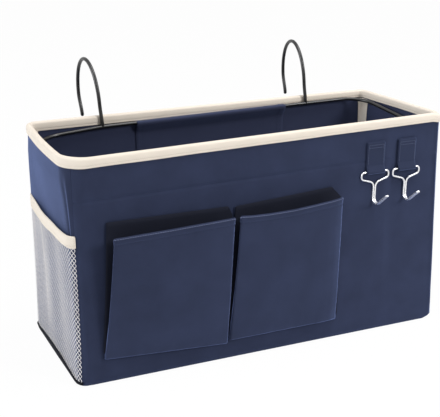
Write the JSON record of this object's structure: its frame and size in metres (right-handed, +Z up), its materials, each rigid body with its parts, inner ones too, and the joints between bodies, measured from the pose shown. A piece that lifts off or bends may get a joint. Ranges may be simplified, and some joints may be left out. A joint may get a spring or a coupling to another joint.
{
  "type": "bedside caddy",
  "caption": "Open-top box caddy of stiff-walled canvas with front pockets, mesh end pockets, accessory hooks on tabs and wire hooks that hang it from a bed rail.",
  "frame": {"origin": "middle of the box's underside, on its flat base", "axes": "+Z up, +X along the box towards the end beside the accessory hooks, -Y out of the front with its pockets"},
  "size_m": [0.3914, 0.1994, 0.2559],
  "materials": {
    "navy_canvas": "matte plain-weave canvas, navy",
    "navy_webbing": "matte woven webbing, navy",
    "navy_lining": "matte lining cloth, dark navy",
    "stiff_board": "plain stiffening board, hidden between the cloths",
    "cream_tape": "twill binding tape, cream",
    "white_mesh": "knitted net, white",
    "black_wire": "satin black coating over steel wire",
    "chrome_wire": "bright plated steel wire"
  },
  "bodies": {
    "caddy": {"front_canvas": "navy_canvas", "back_canvas": "navy_canvas", "left_end_canvas": "navy_canvas", "right_end_canvas": "navy_canvas", "base_canvas": "navy_canvas", "front_pocket_left": "navy_canvas", "front_pocket_right": "navy_canvas", "mesh_hem_left": "navy_canvas", "mesh_hem_right": "navy_canvas", "webbing_tab_a": "navy_webbing", "webbing_tab_b": "navy_webbing", "front_lining": "navy_lining", "back_lining": "navy_lining", "left_end_lining": "navy_lining", "right_end_lining": "navy_lining", "base_lining": "navy_lining", "frame_sleeve": "navy_lining", "front_board": "stiff_board", "back_board": "stiff_board", "left_end_board": "stiff_board", "right_end_board": "stiff_board", "base_board": "stiff_board", "rim_binding": "cream_tape", "front_left_tape": "cream_tape", "front_right_tape": "cream_tape", "back_right_tape": "cream_tape", "back_left_tape": "cream_tape", "mesh_binding_left": "cream_tape", "mesh_binding_right": "cream_tape", "mesh_net_left": "white_mesh", "mesh_net_right": "white_mesh", "wire_frame": "black_wire", "hanging_hook_left": "black_wire", "hanging_hook_right": "black_wire"},
    "hook_a": {"accessory_hook_a": "chrome_wire"},
    "hook_b": {"accessory_hook_b": "chrome_wire"}
  },
  "joints": [
    {"name": "hook_a_swing", "type": "hinge", "parent": "caddy", "child": "hook_a", "pos_m": [0.1135, -0.0657, 0.158], "axis": [-1, 0, 0], "range_deg": [0, 120]},
    {"name": "hook_b_swing", "type": "hinge", "parent": "caddy", "child": "hook_b", "pos_m": [0.1485, -0.0657, 0.158], "axis": [-1, 0, 0], "range_deg": [0, 120]}
  ]
}
